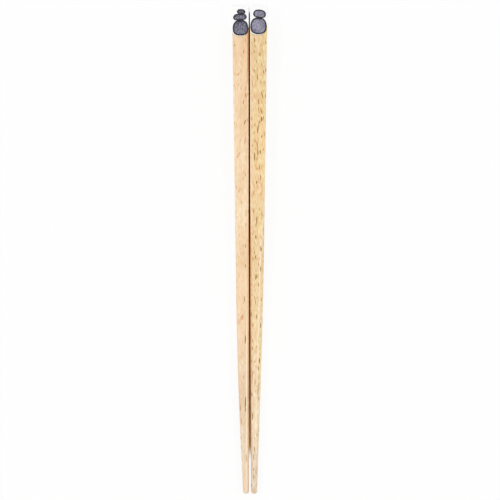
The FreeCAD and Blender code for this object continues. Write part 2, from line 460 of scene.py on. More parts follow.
def painted_slit_shade(side, down):
    """How far the wood is painted a deeper brown, as a painted shade in the slit.

    The flank in the slit loses a share as the corners open. The wider band, at the top of the left
    stick, falls from 1 to 0 over its fade.
    """
    flank = within(SLIT_COLUMNS[side]) * (1 - SLIT_LOST * opening(down))
    wider = within(WIDER_COLUMNS[side]) * (1 - risen(down, WIDER_DOWN, WIDER_FADE))
    return np.maximum(flank, wider)


print("columns in the slit:", {side: int(within(SLIT_COLUMNS[side]).sum()) for side in SIDES})

# %% The wooden sticks
UNDER_COAT_STEPS = 6
BESIDE_COAT_STEPS = 5
PLAIN_DOWN = 18.0
STICK_STEPS = 250


def wooden_stick(side):
    """Butt let in under the coat, a step out at its edge, the long flanks and the tip."""
    inset = LACQUER + LACQUER_ROOM
    butt, butt_middle = butt_rings(side, inset)
    edge = coat_edge(side)[None, :]
    share = np.linspace(0, 1, UNDER_COAT_STEPS)[1:, None]
    under = skin_point(side, BUTT_ROUNDING + (edge - BUTT_ROUNDING) * share, TURNS, growth=-inset)
    share = np.linspace(0, 1, BESIDE_COAT_STEPS, endpoint=False)[:, None]
    beside = skin_point(side, edge + (PLAIN_DOWN - edge) * share, TURNS)
    downs = np.linspace(PLAIN_DOWN, LENGTH - TIP_ROUNDING, STICK_STEPS, endpoint=False)[:, None]
    flanks = skin_point(side, downs, TURNS)
    tip = tip_rings(side)
    rings = np.concatenate([butt, under, beside, flanks, tip])
    piece = closed_mesh(f"{side}_wood", rings, butt_middle, tip[-1].mean(axis=0))
    down = LENGTH / 2 - rings[..., 1]
    for name, values in (("painted_highlight", painted_highlight(side, down)), ("painted_slit_shade", painted_slit_shade(side, down))):
        keep_values(piece, name, np.append(values.ravel(), [0, 0]))
    return piece


sticks = {}
for side in SIDES:
    sticks[side] = in_place_of(wooden_stick(side), f"{side}_stick")

# %% [markdown]
# ## The white coat
#
# The coat is a thin closed shell: its outer skin goes from the middle of the butt to the coat's
# edge, and its inner skin comes back. Building both skins, and not one sheet with no thickness,
# gives it an edge that catches the light as a real film does.

# %% The coats
COAT_STEPS = 14


def coat_rings(side, inset):
    """Rings of one skin of the coat, from the middle of the butt to the edge."""
    butt, middle = butt_rings(side, inset)
    share = np.linspace(0, 1, COAT_STEPS)[1:, None]
    downs = BUTT_ROUNDING + (coat_edge(side)[None, :] - BUTT_ROUNDING) * share
    return np.concatenate([butt, skin_point(side, downs, TURNS, growth=-inset)]), middle


def white_end(side):
    """The outer skin, then the inner skin from the edge back to the middle."""
    outer, outer_middle = coat_rings(side, 0.0)
    inner, inner_middle = coat_rings(side, LACQUER)
    rings = np.concatenate([outer, inner[::-1]])
    return closed_mesh(f"{side}_lacquer", rings, outer_middle, inner_middle)


coats = {}
for side in SIDES:
    coats[side] = in_place_of(white_end(side), f"{side}_white_end")

# %% [markdown]
# ## The printed stones
#
# Each stone is a thin film of ink that lies on the coat and follows its eased edges. Its rings go
# from the middle of the underside out to the outline, up the thickness of the ink, and back to the
# middle of the face. Where a higher stone lies in front, the ring is drawn in to a hair short of it.
# Each point also keeps its distance from the outline, so that the material can draw a dark line.

# %% The stones
STONE_COLUMNS = 160
STONE_STEPS = 14
STEP_POWER = 0.8
RAY_STEPS = 600
RIM_POINTS = 720


def face_height(side, down, x):
    """The height of the upper face above a point: level, then falling round its eased edge."""
    across, height = centre(side, down)
    past_flat = np.abs(x - across) - (size(side, down) / 2 - EDGE_RADIUS)
    past_flat = np.clip(past_flat, 0, EDGE_RADIUS)
    foot = height + size("height", down) / 2 - EDGE_RADIUS
    return foot + np.sqrt(EDGE_RADIUS**2 - past_flat**2)


def middle_of(side, stone):
    """X and distance down of a stone's middle."""
    return centre(side, stone["down"])[0] + stone["across"], stone["down"]


def inside(side, stone, x, down, growth):
    """Whether points lie in a stone's outline, found by comparing radii in their direction."""
    middle_x, middle_down = middle_of(side, stone)
    angles = np.linspace(0, 2 * np.pi, RIM_POINTS, endpoint=False)
    rim_x, rim_up = outline(stone, angles, growth)
    direction = np.arctan2(rim_up, rim_x)
    order = np.argsort(direction)
    wanted = np.arctan2(middle_down - down, x - middle_x)
    radius = np.hypot(rim_x, rim_up)[order]
    rim = np.interp(wanted, direction[order], radius, period=2 * np.pi)
    return np.hypot(x - middle_x, middle_down - down) < rim


def drawn_in(side, stone, in_front):
    """For each column, the share of the way to the outline that the stones in front leave free."""
    angle = np.linspace(0, 2 * np.pi, STONE_COLUMNS, endpoint=False)
    rim_x, rim_up = outline(stone, angle)
    share = np.linspace(0, 1, RAY_STEPS)[:, None]
    middle_x, middle_down = middle_of(side, stone)
    hidden = np.zeros((RAY_STEPS, STONE_COLUMNS), bool)
    for other in in_front:
        x = middle_x + share * rim_x
        down = middle_down - share * rim_up
        hidden |= inside(side, with_width(side, other), x, down, STONE_GAP)
    first_hidden = np.where(hidden.any(axis=0), hidden.argmax(axis=0), RAY_STEPS - 1)
    return rim_x, rim_up, share[first_hidden, 0]


def printed_stone(side, place, stone, in_front):
    """A film of ink, from the middle of its underside over the outline to the middle of its face."""
    stone = with_width(side, stone)
    rim_x, rim_up, free = drawn_in(side, stone, in_front)
    out = np.linspace(0, 1, STONE_STEPS)[1:, None] ** STEP_POWER
    middle_x, middle_down = middle_of(side, stone)
    x = middle_x + out * free * rim_x
    down = middle_down - out * free * rim_up
    under = np.stack([x, LENGTH / 2 - down, face_height(side, down, x)], axis=-1)
    over = under + np.array([0, 0, INK])
    middle = np.array([middle_x, LENGTH / 2 - middle_down, size("height", middle_down)])
    rings = np.concatenate([under, over[::-1]])
    piece = closed_mesh(f"{side}_stone_{place}", rings, middle, middle + np.array([0, 0, INK]))
    to_rim = (1 - out) * free * np.hypot(rim_x, rim_up)
    distances = np.concatenate([to_rim.ravel(), to_rim[::-1].ravel(), np.full(2, to_rim.max())])
    keep_values(piece, "to_rim", distances)
    return piece


stones = {"left": [], "right": []}
for side in SIDES:
    stack = [LOWEST_STONE[side]] + UPPER_STONES[side]
    for place, stone in enumerate(stack):
        piece = printed_stone(side, place, stone, stack[place + 1 :])
        stones[side].append(in_place_of(piece, f"{side}_stone_print"))

# %% [markdown]
# ## Small helpers for materials
#
# Node trees get long, so small helpers do the repeated work: they set or link a socket, add a node
# with its inputs, do a step of arithmetic, mix or tint a colour, and make a node group with named
# inputs and outputs or place it in a material.


# %% Node helpers
def feed(tree, socket, value):
    """Links a socket to another node's output, or sets it to a plain value."""
    if isinstance(value, bpy.types.NodeSocket):
        tree.links.new(value, socket)
    else:
        socket.default_value = value


def add(tree, kind, inputs=(), output=0, **settings):
    """Adds a node, gives it settings and inputs by index or name, and returns one output."""
    node = tree.nodes.new("ShaderNode" + kind)
    for name, value in settings.items():
        setattr(node, name, value)
    pairs = inputs.items() if isinstance(inputs, dict) else enumerate(inputs)
    for key, value in pairs:
        feed(tree, node.inputs[key], value)
    return node.outputs[output]


def reckoned(tree, operation, *values, **settings):
    """One step of arithmetic."""
    return add(tree, "Math", values, operation=operation, **settings)


def blended(tree, amount, first, second, blend_type="MIX"):
    """A mix of two colours."""
    inputs = {0: amount, 6: first, 7: second}
    return add(tree, "Mix", inputs, 2, data_type="RGBA", blend_type=blend_type)


def tinted(tree, amount, colour, tint):
    """A colour multiplied by a tint, as far as the amount says."""
    return blended(tree, amount, colour, tint, "MULTIPLY")


def ramp(tree, value, low, high, to_low=0.0, to_high=1.0):
    """A value carried smoothly from one range to another."""
    inputs = [value, low, high, to_low, to_high]
    return add(tree, "MapRange", inputs, interpolation_type="SMOOTHSTEP")


def new_group(name, inputs, outputs):
    """An empty node group with these sockets, and its input and output nodes."""
    group = bpy.data.node_groups.new(name, "ShaderNodeTree")
    sockets = group.interface
    for socket, kind, value in inputs:
        made = sockets.new_socket(name=socket, in_out="INPUT", socket_type="NodeSocket" + kind)
        if value is not None:
            made.default_value = value
    for socket, kind in outputs:
        sockets.new_socket(name=socket, in_out="OUTPUT", socket_type="NodeSocket" + kind)
    print(f"{name}: {len(inputs)} inputs, {len(outputs)} outputs")
    first, last = (group.nodes.new("NodeGroup" + kind) for kind in ("Input", "Output"))
    return group, first.outputs, last.inputs


def placed(tree, group, inputs):
    """Places a node group in a tree, with its inputs by name, and returns its outputs."""
    node = tree.nodes.new("ShaderNodeGroup")
    node.node_tree = group
    for name, value in inputs.items():
        feed(tree, node.inputs[name], value)
    return node.outputs


def in_millimetres(tree):
    """The place of each point on its object, in millimetres."""
    place = add(tree, "TexCoord", output="Object")
    return add(tree, "VectorMath", {0: place, "Scale": 1 / MM}, operation="SCALE")


def new_material(name):
    """A material with a Principled shader, and its tree, the shader and the position in mm."""
    material = bpy.data.materials.new(name)
    material.use_nodes = True
    tree = material.node_tree
    return material, tree, tree.nodes["Principled BSDF"], in_millimetres(tree)


def kept_value(tree, name):
    """A number that was kept at each point of the piece."""
    return add(tree, "Attribute", output="Fac", attribute_name=name)


BUMP_HEIGHT = 0.02 * MM


def bumped(tree, shader, height, strength):
    """A low bump: at full strength it is BUMP_HEIGHT from the lowest point to the highest."""
    bump = add(tree, "Bump", {"Height": height, "Strength": strength, "Distance": BUMP_HEIGHT})
    feed(tree, shader.inputs["Normal"], bump)


def dress(piece, material):
    """Gives a piece its one material."""
    piece.data.materials.clear()
    piece.data.materials.append(material)
    print(piece.name, "is dressed in", material.name)


# %% [markdown]
# ## Beech
#
# Beech is pale, with a faint pink or yellow tone that drifts along the stick, fine streaks along the
# grain, and its mark of recognition: short dark lens-shaped flecks, where the wood's rays come to
# the surface. A picture wrapped round the stick would break at its edges. A pattern in space does
# not, so each effect here is a texture stretched along the stick and read at the point's own place:
# the same fleck then runs round an edge as it would in a solid.
#
# The flecks use a Voronoi texture. In its stretched space every cell has one point, and the
# distance to it makes an ellipse. The cell's random colour decides whether the fleck is there and
# how dark it is. A second one, finer and filling every cell, gives the fibres their short strokes,
# some darker and some paler than the wood. The drift leans to one tone at the left of a stick and to
# another at its right. On the right stick that is the wood's own tone, pinker at the left and
# yellower at the right, as the growth rings give across a board. On the left stick it is painted
# light and shade: paler at its left side, towards the stronger lamp, and darker at its right.

# %% The beech group: its sockets and its space
beech, socket, out = new_group(
    "beech grain",
    [("Position", "Vector", None), ("Shift", "Vector", (0, 0, 0))]
    + [("Middle", "Float", 0.0), ("Lean", "Float", 0.2), ("Fleck Share", "Float", 0.5)],
    [(name, "Float") for name in ("Drift", "Streaks", "Fibres", "Pores", "Flecks")],
)
moved = add(beech, "VectorMath", [socket["Position"], socket["Shift"]], operation="ADD")
NOISE_DETAIL = 2.0


def stretched(scales):
    """The moved position, multiplied by a scale for each axis."""
    return add(beech, "VectorMath", [moved, scales], operation="MULTIPLY")


def noise(scales):
    """Noise in the space stretched by these scales."""
    inputs = {"Vector": stretched(scales), "Scale": 1.0, "Detail": NOISE_DETAIL}
    return add(beech, "TexNoise", inputs)


# %% Drift, streaks and pores
DRIFT_SCALE = (0.2, 0.045, 0.2)
STREAK_SCALE = (0.8, 0.05, 0.8)
PORE_SCALE = (9.0, 0.9, 9.0)
BROAD_RANGE = (0.34, 0.66)
FINE_RANGE = (0.3, 0.7)

across = add(beech, "SeparateXYZ", [socket["Position"]], 0)
across = reckoned(beech, "SUBTRACT", across, socket["Middle"])
half_butt = BUTT_SIZE["height"] / 2
other_lean = reckoned(beech, "MULTIPLY", socket["Lean"], -1.0)
across = add(beech, "MapRange", [across, -half_butt, half_butt, other_lean, socket["Lean"]])
drift = reckoned(beech, "ADD", noise(DRIFT_SCALE), across)
feed(beech, out["Drift"], ramp(beech, drift, *BROAD_RANGE))
feed(beech, out["Streaks"], ramp(beech, noise(STREAK_SCALE), *BROAD_RANGE))
feed(beech, out["Pores"], ramp(beech, noise(PORE_SCALE), *FINE_RANGE))
print("a pore is about", [round(1 / scale, 2) for scale in PORE_SCALE], "mm")

# %% Fibres and flecks
FIBRE_SCALE = (1.9, 0.45, 1.9)
FIBRE_SPAN = (0.2, 0.8)
STROKE_SCALE = (1.65, 0.40, 0.5)
STROKE_EDGE = (0.6, 0.2)
STROKE_TONE = 0.9
FLECK_SCALE = (0.95, 0.24, 0.34)
FLECK_EDGE = (0.28, 0.18)
PALEST_FLECK = 0.35


def cells_of(scales):
    """A Voronoi texture in the space stretched by these scales: its distance and random colour."""
    node = beech.nodes.new("ShaderNodeTexVoronoi")
    feed(beech, node.inputs["Vector"], stretched(scales))
    feed(beech, node.inputs["Scale"], 1.0)
    return node.outputs["Distance"], node.outputs["Color"]


distance, random = cells_of(STROKE_SCALE)
tone = add(beech, "SeparateColor", [random])
tone = add(beech, "MapRange", [tone, 0.0, 1.0, -STROKE_TONE, STROKE_TONE])
stroke = reckoned(beech, "MULTIPLY", ramp(beech, distance, *STROKE_EDGE), tone)
fibres = ramp(beech, noise(FIBRE_SCALE), *FINE_RANGE, *FIBRE_SPAN)
feed(beech, out["Fibres"], reckoned(beech, "ADD", fibres, stroke, use_clamp=True))

distance, random = cells_of(FLECK_SCALE)
chance = add(beech, "SeparateColor", [random])
there = reckoned(beech, "LESS_THAN", chance, socket["Fleck Share"])
darkness = add(beech, "SeparateColor", [random], 1)
darkness = add(beech, "MapRange", [darkness, 0.0, 1.0, PALEST_FLECK, 1.0])
fleck = reckoned(beech, "MULTIPLY", ramp(beech, distance, *FLECK_EDGE), there)
feed(beech, out["Flecks"], reckoned(beech, "MULTIPLY", fleck, darkness))
print("a fleck's cell is about", [round(1 / scale, 1) for scale in FLECK_SCALE], "mm")

# %% [markdown]
# A few flecks stand out on this pair, and a viewer who compares the two will look for them, so they
# are placed by hand on the upper face. A small group draws one such mark, a soft ellipse, over the
# marks before it.

# %% One placed mark as a node group
MARK_EDGE = (1.3, 0.75)

mark, socket, out = new_group(
    "placed mark",
    [
        ("Position", "Vector", None),
        ("Middle", "Vector", (0, 0, 0)),
        ("Half Size", "Vector", (0.2, 1.0, 1.0)),
        ("Tilt", "Float", 0.0),
        ("Strength", "Float", 1.0),
        ("Before", "Float", 0.0),
    ],
    [("Marks", "Float")],
)
near = add(mark, "VectorMath", [socket["Position"], socket["Middle"]], operation="SUBTRACT")
near = add(mark, "VectorRotate", {"Vector": near, "Angle": socket["Tilt"]}, rotation_type="Z_AXIS")
near = add(mark, "VectorMath", [near, (1, 1, 0)], operation="MULTIPLY")
near = add(mark, "VectorMath", [near, socket["Half Size"]], operation="DIVIDE")
far = add(mark, "VectorMath", [near], 1, operation="LENGTH")
soft = reckoned(mark, "MULTIPLY", ramp(mark, far, *MARK_EDGE), socket["Strength"])
feed(mark, out["Marks"], reckoned(mark, "MAXIMUM", socket["Before"], soft))

# %% [markdown]
# Each mark is written as it was seen: how far down the stick, how far across from the line where
# the sticks meet, its length and width, its lean and how dark it is. The left stick also has a few
# orange stains, which are drawn as marks too: two small ones, and a knot with a paler streak beside
# it.

# %% The marks that stand out
# down, across, length, width, lean in degrees, strength
LEFT_MARKS = [
    (18.5, -6.9, 1.2, 0.51, 0, 0.42),
    (21.4, -2.8, 1.7, 0.38, 0, 0.42),
    (31.8, -5.2, 1.4, 0.59, 30, 0.26),
    (41.6, -1.8, 2.1, 0.51, -11, 0.38),
    (44.7, -2.9, 2.4, 0.51, 8, 0.32),
    (53.9, -2.2, 2.1, 0.51, 15, 0.6),
    (62.3, -2.1, 3.7, 0.42, 7, 0.27),
    (85.1, -4.6, 3.0, 0.77, 24, 0.12),
    (95.5, -1.7, 3.3, 0.42, 0, 0.26),
    (110.9, -1.9, 1.7, 0.38, 0, 0.45),
    (120.0, -1.9, 1.7, 0.38, 0, 0.45),
    (135.2, -2.4, 2.5, 0.38, 0, 0.6),
    (153.7, -2.0, 3.8, 0.47, 0, 0.75),
    (182.8, -1.9, 5.2, 0.42, 0, 0.9),
    (185.5, -4.2, 2.6, 0.38, 0, 0.35),
    (186.2, -1.9, 1.8, 0.38, 0, 0.7),
    (191.5, -3.8, 3.1, 0.38, 0, 0.3),
    (208.5, -1.5, 3.7, 0.38, 0, 0.35),
]
RIGHT_MARKS = [
    (16.2, 2.2, 2.0, 0.38, 0, 0.7),
    (30.7, 6.4, 1.6, 0.38, 0, 0.65),
    (33.0, 3.6, 2.5, 0.38, 0, 0.65),
    (36.3, 1.3, 3.9, 0.34, 0, 0.3),
    (41.5, 5.7, 2.8, 0.42, -15, 0.75),
    (44.3, 4.1, 2.7, 0.38, 0, 0.5),
    (49.1, 5.5, 1.6, 0.40, 0, 0.85),
    (52.5, 5.5, 2.1, 0.58, 0, 1.0),
    (53.9, 4.4, 1.5, 0.45, 22, 0.6),
    (56.8, 3.8, 4.0, 0.47, 6, 0.8),
    (60.4, 5.5, 1.2, 0.44, 0, 0.9),
    (64.2, 3.5, 3.3, 0.38, -10, 0.45),
    (67.6, 5.0, 2.0, 0.42, 0, 0.7),
    (67.7, 3.6, 3.9, 0.38, 0, 0.5),
    (69.5, 2.2, 3.3, 0.42, 0, 0.7),
    (79.4, 5.0, 2.1, 0.38, 0, 0.6),
    (81.5, 3.2, 1.3, 0.46, 0, 0.95),
    (94.8, 1.8, 2.1, 0.38, 0, 0.55),
    (99.1, 3.2, 3.5, 0.38, 0, 0.65),
    (106.6, 2.7, 1.7, 0.42, 0, 0.7),
    (112.1, 5.0, 2.4, 0.38, 0, 0.65),
    (115.9, 2.7, 1.6, 0.42, 0, 0.75),
    (121.4, 5.0, 2.3, 0.42, 0, 0.7),
    (125.0, 2.8, 2.8, 0.42, 9, 0.65),
    (128.6, 4.1, 1.9, 0.38, 0, 0.6),
    (135.8, 2.5, 4.2, 0.38, -10, 0.35),
    (143.3, 3.2, 2.1, 0.38, 0, 0.6),
    (147.5, 5.0, 1.9, 0.42, 0, 0.75),
    (163.6, 4.5, 2.4, 0.44, 0, 0.95),
    (170.3, 1.3, 4.5, 0.34, 0, 0.3),
    (176.9, 3.8, 3.5, 0.51, 6, 0.3),
    (189.2, 1.3, 3.2, 0.38, 0, 0.7),
    (207.9, 1.8, 2.9, 0.38, 0, 0.45),
]
MARKS = {"left": LEFT_MARKS, "right": RIGHT_MARKS}


def placed_marks(tree, rows, position):
    """Rows of marks, drawn one over the other, and only on the stick's upper half."""
    marks = 0.0
    for down, across, length, wide, lean, strength in rows:
        inputs = {
            "Position": position,
            "Middle": (across, LENGTH / 2 - down, 0),
            "Half Size": (wide / 2, length / 2, 1),
            "Tilt": float(np.radians(lean)),
            "Strength": strength,
            "Before": marks,
        }
        marks = placed(tree, mark, inputs)["Marks"]
    height = add(tree, "SeparateXYZ", [position], 2)
    upper = ramp(tree, height, TIP_SIZE, BEND_SIZE["height"] / 2)
    return reckoned(tree, "MULTIPLY", marks, upper)


print("marks:", {side: len(MARKS[side]) for side in SIDES})

# %% The orange stains, with the same columns
LEFT_STAINS = [
    (55.8, -6.3, 1.3, 0.68, 0, 0.45),
    (68.9, -5.2, 3.3, 1.0, 29, 0.8),
    (143.7, -3.5, 2.6, 1.1, 16, 0.9),
    (145.2, -4.7, 3.2, 1.5, 16, 0.5),
]
STAINS = {"left": LEFT_STAINS, "right": []}
print("stains:", {side: len(STAINS[side]) for side in SIDES})

# %% [markdown]
# The two sticks are not from one board: the left is rosier with few flecks, the right is yellower
# with many. So one function makes both materials and only the colours and shares differ. A fleck
# stains the wood as a thin layer of tea does, so its tint is raised to the power of its strength: a
# weak fleck is golden and a strong one deep brown. A clear satin finish lies over the wood: a middle
# roughness that the pores break up, and a very low bump.


# %% Tints and depths of the beech
# The drift across a stick: on the right stick the wood's own tone, on the left stick painted light and
# shade, paler at its left side and darker at its right.
DRIFT_AND_SIDE_SHADE = {
    "left": ((1.03, 1.06, 1.09, 1), (0.985, 0.945, 0.91, 1)),
    "right": ((1.01, 0.965, 0.975, 1), (1.0, 1.02, 0.93, 1)),
}
LEAN_AND_SIDE_SHADE = {"left": 0.24, "right": 0.16}
STREAK = (0.93, 0.87, 0.78, 1)
DARK_FIBRE = (0.85, 0.73, 0.60, 1)
PALE_FIBRE = (1.03, 1.11, 1.20, 1)
# The colour of the painted highlight along a crease and an edge.
PAINTED_HIGHLIGHT = (1.0, 0.88, 0.67, 1)
FLECK_TINT = (0.26, 0.155, 0.033, 1)
STAIN_TINT = (0.82, 0.56, 0.43, 1)
# The colour of the painted shade on the flanks in the slit.
PAINTED_SLIT_SHADE = (0.72, 0.46, 0.26, 1)
STREAK_DEPTH = 0.6
PORE_DEPTH = 0.4
WOOD_ROUGHNESS = (0.45, 0.6)
WOOD_BUMP = 0.12
WOOD_COAT = 0.35
WOOD_COAT_ROUGHNESS = 0.28
print("a fleck at full strength leaves", FLECK_TINT[:3], "of the wood's red, green and blue")


# %% A beech material
def tone_along(tree, position, tones):
    """A colour that changes smoothly from one distance down the stick to the next."""
    y = add(tree, "SeparateXYZ", [position], 1)
    share = add(tree, "MapRange", [y, LENGTH / 2, -LENGTH / 2, 0.0, 1.0])
    node = tree.nodes.new("ShaderNodeValToRGB")
    node.color_ramp.interpolation = "EASE"
    stops = node.color_ramp.elements
    for place, (down, colour) in enumerate(tones):
        stop = stops[place] if place < len(stops) else stops.new(down / LENGTH)
        stop.position = down / LENGTH
        stop.color = colour
    feed(tree, node.inputs[0], share)
    return node.outputs[0]


def beech_material(side, tones, shift, share, fleck_depth, fibre_depth):
    """A tone that drifts along and across, with streaks, fibres, pores and flecks laid over it."""
    material, tree, shader, position = new_material(f"{side} beech")
    middle = float(centre(side, 0.0)[0])
    inputs = {"Position": position, "Shift": shift, "Middle": middle}
    grain = placed(tree, beech, inputs | {"Lean": LEAN_AND_SIDE_SHADE[side], "Fleck Share": share})
    colour = tone_along(tree, position, tones)
    # On the left stick this drift is painted side shade, on the right stick the wood's own tone.
    colour = tinted(tree, 1.0, colour, blended(tree, grain["Drift"], *DRIFT_AND_SIDE_SHADE[side]))
    amount = reckoned(tree, "MULTIPLY", grain["Streaks"], STREAK_DEPTH)
    colour = tinted(tree, amount, colour, STREAK)
    fibre = blended(tree, grain["Fibres"], DARK_FIBRE, PALE_FIBRE)
    colour = tinted(tree, fibre_depth, colour, fibre)
    amount = reckoned(tree, "MULTIPLY", grain["Pores"], PORE_DEPTH)
    colour = tinted(tree, amount, colour, STREAK)
    # A painted highlight: paler wood along a crease and an edge, where glints of light fall.
    colour = blended(tree, kept_value(tree, "painted_highlight"), colour, PAINTED_HIGHLIGHT)
    flecks = reckoned(tree, "MULTIPLY", grain["Flecks"], fleck_depth)
    marks = placed_marks(tree, MARKS[side], position)
    flecks = reckoned(tree, "MAXIMUM", flecks, marks, use_clamp=True)
    colour = tinted(tree, 1.0, colour, add(tree, "Gamma", [FLECK_TINT, flecks]))
    if STAINS[side]:
        colour = tinted(tree, placed_marks(tree, STAINS[side], position), colour, STAIN_TINT)
    # Painted shade: the flanks that face each other in the slit are painted a deeper brown.
    colour = tinted(tree, kept_value(tree, "painted_slit_shade"), colour, PAINTED_SLIT_SHADE)
    feed(tree, shader.inputs["Base Color"], colour)
    roughness = ramp(tree, grain["Pores"], 0.0, 1.0, *WOOD_ROUGHNESS)
    feed(tree, shader.inputs["Roughness"], roughness)
    bumped(tree, shader, reckoned(tree, "SUBTRACT", grain["Pores"], flecks), WOOD_BUMP)
    feed(tree, shader.inputs["Coat Weight"], WOOD_COAT)
    feed(tree, shader.inputs["Coat Roughness"], WOOD_COAT_ROUGHNESS)
    return material


# %% The left and the right stick's beech
BEECH = {
    "left": beech_material(
        "left",
        tones=[
            (15, (0.945, 0.695, 0.45, 1)),
            (80, (1.0, 0.79, 0.54, 1)),
            (140, (0.995, 0.755, 0.505, 1)),
            (185, (0.90, 0.69, 0.49, 1)),
            (205, (0.935, 0.775, 0.585, 1)),
            (225, (0.96, 0.80, 0.61, 1)),
        ],
        shift=(3.1, 40.0, 7.7),
        share=0.30,
        fleck_depth=0.25,
        fibre_depth=0.55,
    ),
    "right": beech_material(
        "right",
        tones=[
            (15, (0.91, 0.715, 0.41, 1)),
            (60, (0.985, 0.74, 0.435, 1)),
            (105, (0.97, 0.745, 0.46, 1)),
            (150, (0.99, 0.795, 0.52, 1)),
            (190, (0.985, 0.845, 0.62, 1)),
            (225, (0.87, 0.745, 0.585, 1)),
        ],
        shift=(21.4, 133.0, 2.5),
        share=0.75,
        fleck_depth=0.45,
        fibre_depth=1.0,
    ),
}
for side in SIDES:
    dress(sticks[side], BEECH[side])

# %% [markdown]
# ## White lacquer
#
# The coat is opaque and smooth, but a dipped film is never quite flat: it has a faint ripple, and
# where it is a touch thinner it is a touch warmer. One plain white would do from far off, but close up
# it would look like paper.

# %% The lacquer
THICK_WHITE = (0.99, 0.99, 0.99, 1)
THIN_WHITE = (0.975, 0.975, 0.97, 1)
CLOUD_SCALE = 0.35
CLOUD_RANGE = (0.35, 0.65)
RIPPLE_SCALE = 0.8
LACQUER_ROUGHNESS = (0.28, 0.38)
LACQUER_BUMP = 0.15

lacquer, tree, shader, position = new_material("white lacquer")
ripple = add(tree, "TexNoise", {"Vector": position, "Scale": RIPPLE_SCALE, "Detail": 1.0})
cloud = add(tree, "TexNoise", {"Vector": position, "Scale": CLOUD_SCALE, "Detail": 2.0})
white = blended(tree, ramp(tree, cloud, *CLOUD_RANGE), THICK_WHITE, THIN_WHITE)
feed(tree, shader.inputs["Base Color"], white)
feed(tree, shader.inputs["Roughness"], ramp(tree, ripple, *FINE_RANGE, *LACQUER_ROUGHNESS))
bumped(tree, shader, ripple, LACQUER_BUMP)
for side in SIDES:
    dress(coats[side], lacquer)

# %% [markdown]
# ## The ink
#
# The stones are drawn as with a dry brush: a grey with a touch of violet, mottled by short strokes,
# and a near-black line round each. The line's width wavers, because the distance at which it ends
# is moved by noise. The stones share all but their greys, so one function makes both inks.


# %% An ink material
PALE_STROKE = (0.42, 0.43, 0.52, 1)
LINE_COLOUR = (0.006, 0.005, 0.012, 1)
LINE_EDGE = (0.76, 0.56)
LINE_WAVER = 0.12
BRUSH_SLANT = 0.6
BRUSH_SCALE = (2.4, 0.9, 1.0)
WASH_SCALE = 0.33
WASH_RANGE = (0.38, 0.62)
DARK_STROKES = (0.5, 0.62, 0.0, 0.75)
PALE_STROKES = (0.48, 0.36, 0.0, 0.5)
INK_ROUGHNESS = (0.42, 0.55)
INK_BUMP = 0.2


def ink_material(name, body_colour, light_colour, stroke_colour):
    """Brushed greys inside a dark outline of wavering width."""
    material, tree, shader, position = new_material(name)
    slant = {"Vector": position, "Angle": BRUSH_SLANT}
    brushed = add(tree, "VectorRotate", slant, rotation_type="Z_AXIS")
    brushed = add(tree, "VectorMath", [brushed, BRUSH_SCALE], operation="MULTIPLY")
    strokes = add(tree, "TexNoise", {"Vector": brushed, "Scale": 1.0, "Detail": 4.0})
    wash = add(tree, "TexNoise", {"Vector": position, "Scale": WASH_SCALE, "Detail": 1.0})
    colour = blended(tree, ramp(tree, wash, *WASH_RANGE), body_colour, light_colour)
    colour = blended(tree, ramp(tree, strokes, *DARK_STROKES), colour, stroke_colour)
    colour = blended(tree, ramp(tree, strokes, *PALE_STROKES), colour, PALE_STROKE)
    waver = add(tree, "MapRange", [strokes, *FINE_RANGE, -LINE_WAVER, LINE_WAVER])
    distance = reckoned(tree, "ADD", kept_value(tree, "to_rim"), waver)
    colour = blended(tree, ramp(tree, distance, *LINE_EDGE), colour, LINE_COLOUR)
    feed(tree, shader.inputs["Base Color"], colour)
    feed(tree, shader.inputs["Roughness"], ramp(tree, strokes, *FINE_RANGE, *INK_ROUGHNESS))
    bumped(tree, shader, strokes, INK_BUMP)
    return material


# %% The left and the right stones' ink
INKS = {
    "left": ink_material(
        "dark grey ink",
        (0.095, 0.091, 0.132, 1),
        (0.145, 0.140, 0.195, 1),
        (0.050, 0.047, 0.078, 1),
    ),
    "right": ink_material(
        "light grey ink",
        (0.215, 0.208, 0.285, 1),
        (0.310, 0.300, 0.390, 1),
        (0.110, 0.105, 0.155, 1),
    ),
}
for side in SIDES:
    for piece in stones[side]:
        dress(piece, INKS[side])

# %% [markdown]
# ## Floor, light and camera
#
# The photograph is a product shot on pure white. The floor is pale and takes the sticks' soft
# shadow. To the camera and in reflections all but an eighth of it is plain white light of strength 1,
# so that it looks white without any more light on the wood. Under the slit between the sticks that
# light is left out, or the slit would glow white, and the floor there is painted shade: the deep
# brown that the slit has in the photograph, paler towards the tips, which lift off the table and let
# light in.

# %% The floor
FLOOR_HALF = 1.5

mesh = bpy.data.meshes.new("floor")
corners = [(-1, -1), (1, -1), (1, 1), (-1, 1)]
mesh.from_pydata([(x * FLOOR_HALF, y * FLOOR_HALF, 0) for x, y in corners], [], [(0, 1, 2, 3)])
floor = in_scene("floor", mesh)
floor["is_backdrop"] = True
print("floor:", 2 * FLOOR_HALF, "m square")

# %% Where the floor lies under the slit
SLIT_HALF = 2.5
SLIT_EDGE = 0.5
SLIT_ENDS_DOWN = 206.0
SLIT_END_EDGE = 4.0
SLIT_STARTS_DOWN = (4.0, 1.5)

paper = bpy.data.materials.new("white paper")
paper.use_nodes = True
tree = paper.node_tree
tree.nodes.clear()
across = add(tree, "SeparateXYZ", [in_millimetres(tree)], 0)
along = add(tree, "SeparateXYZ", [in_millimetres(tree)], 1)
slit_end = LENGTH / 2 - SLIT_ENDS_DOWN
beside = ramp(tree, reckoned(tree, "ABSOLUTE", across), SLIT_HALF, SLIT_HALF + SLIT_EDGE)
before = ramp(tree, along, slit_end + SLIT_END_EDGE, slit_end - SLIT_END_EDGE)
behind = ramp(tree, along, *(LENGTH / 2 - down for down in SLIT_STARTS_DOWN))
outside = reckoned(tree, "MAXIMUM", before, behind)
outside = reckoned(tree, "MAXIMUM", outside, beside)
print("the slit ends at y =", slit_end, "mm")

